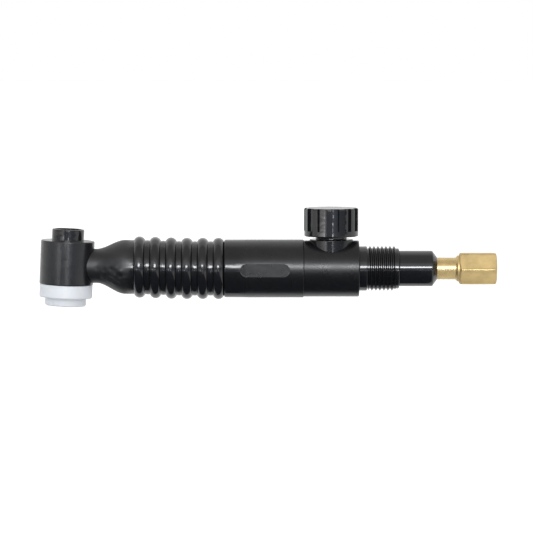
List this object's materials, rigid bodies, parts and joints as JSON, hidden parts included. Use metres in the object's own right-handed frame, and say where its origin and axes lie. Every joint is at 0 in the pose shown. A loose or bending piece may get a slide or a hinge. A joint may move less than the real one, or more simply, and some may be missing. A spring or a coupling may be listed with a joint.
{
  "type": "tig torch",
  "caption": "Air-cooled TIG torch body with a ribbed handle, a short round head, a screw gas valve with a fluted knob and a brass cable connector.",
  "frame": {"origin": "crossing of the electrode axis and the handle axis, on the axis of the collet-body socket", "axes": "+X along the handle from the head to the cable connector, +Z towards the valve knob, the name recess faces -Y"},
  "size_m": [0.2072, 0.0278, 0.0448],
  "materials": {
    "head_insulation": "glossy black moulding with small pits",
    "grip_rubber": "glossy black, ribbed, wrinkled at the neck",
    "sleeve_plastic": "glossy black",
    "housing_plastic": "glossy black, slightly wavy",
    "knob_plastic": "glossy black",
    "adapter_plastic": "glossy black thread",
    "insulator_plastic": "polished black",
    "gasket_white": "waxy white fluoropolymer",
    "connector_brass": "satin, drawn bar with light scratches",
    "core_brass": "machined",
    "valve_brass": "machined",
    "copper": "drawn copper tube",
    "seat_plastic": "natural nylon",
    "ring_rubber": "matt black nitrile",
    "screw_steel": "zinc plated",
    "gasket_fibre": "red fibre"
  },
  "bodies": {
    "torch_body": {"head_shell": "head_insulation", "head_core": "core_brass", "back_cap_bush": "core_brass", "cup_gasket": "gasket_white", "neck_tube": "copper", "grip": "grip_rubber", "handle_sleeve": "sleeve_plastic", "valve_housing": "housing_plastic", "valve_block": "valve_brass", "valve_seat": "seat_plastic", "bonnet_nut": "valve_brass", "bonnet_gasket": "gasket_fibre", "handle_adapter": "adapter_plastic", "rear_insulator": "insulator_plastic", "power_tube": "copper", "cable_connector": "connector_brass"},
    "stem_ring": {"stem_o_ring": "ring_rubber"},
    "valve_knob": {"valve_stem": "valve_brass", "knob": "knob_plastic", "knob_insert": "valve_brass", "knob_screw": "screw_steel", "knob_cap": "knob_plastic"}
  },
  "joints": [
    {"name": "stem_lift", "type": "slide", "parent": "torch_body", "child": "stem_ring", "axis": [0, 0, 1], "range_m": [0, 0.0025]},
    {"name": "knob_turn", "type": "hinge", "parent": "stem_ring", "child": "valve_knob", "pos_m": [0.1199, 0, 0.0208], "axis": [0, 0, 1], "range_deg": [0, 900]}
  ],
  "couplings": [
    {"joint": "knob_turn", "follows": "stem_lift", "rad_per_m": 6283.2}
  ]
}
